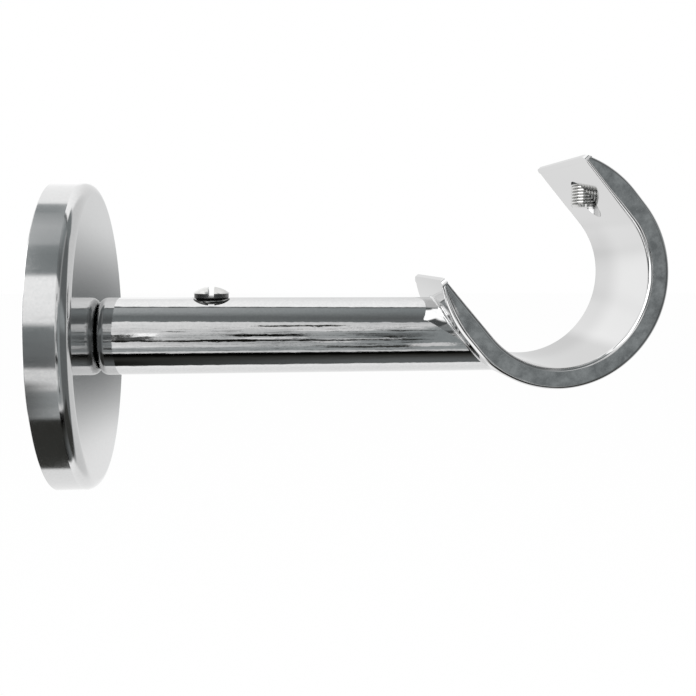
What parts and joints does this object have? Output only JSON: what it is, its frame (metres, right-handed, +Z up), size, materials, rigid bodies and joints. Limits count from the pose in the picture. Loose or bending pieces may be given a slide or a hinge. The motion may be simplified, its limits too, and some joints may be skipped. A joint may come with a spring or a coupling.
{
  "type": "curtain pole bracket",
  "caption": "Chromed wall bracket for a curtain pole: a round rose covers the wall plate, and an arm on its spigot carries an open cup with a clamping screw.",
  "frame": {"origin": "centre of the wall face, on the arm's axis", "axes": "+X out of the wall along the arm, +Y along the pole, +Z up"},
  "size_m": [0.0971, 0.049, 0.0536],
  "materials": {
    "polished_chrome": "polished chrome plate",
    "cup_chrome": "polished chrome plate, sides left from the saw and lightly mottled",
    "screw_steel": "bright nickel plated steel with a cut thread",
    "zinc_plated_steel": "zinc plated steel, dull"
  },
  "bodies": {
    "wall_fixing": {"wall_plate": "zinc_plated_steel", "spigot": "zinc_plated_steel", "rose": "polished_chrome"},
    "arm": {"arm_bar": "polished_chrome", "pole_cup": "cup_chrome"},
    "lock_screw": {"arm_lock_screw": "screw_steel"},
    "clamp_screw": {"pole_screw": "screw_steel"}
  },
  "joints": [
    {"name": "arm_turn", "type": "hinge", "parent": "wall_fixing", "child": "arm", "pos_m": [0.006, 0, 0], "axis": [1, 0, 0], "continuous": true},
    {"name": "lock_screw_travel", "type": "slide", "parent": "arm", "child": "lock_screw", "axis": [0, 0, 1], "range_m": [0, 0.002]},
    {"name": "pole_screw_travel", "type": "slide", "parent": "arm", "child": "clamp_screw", "axis": [0, 0, 1], "range_m": [-0.002, 0.0015]}
  ]
}
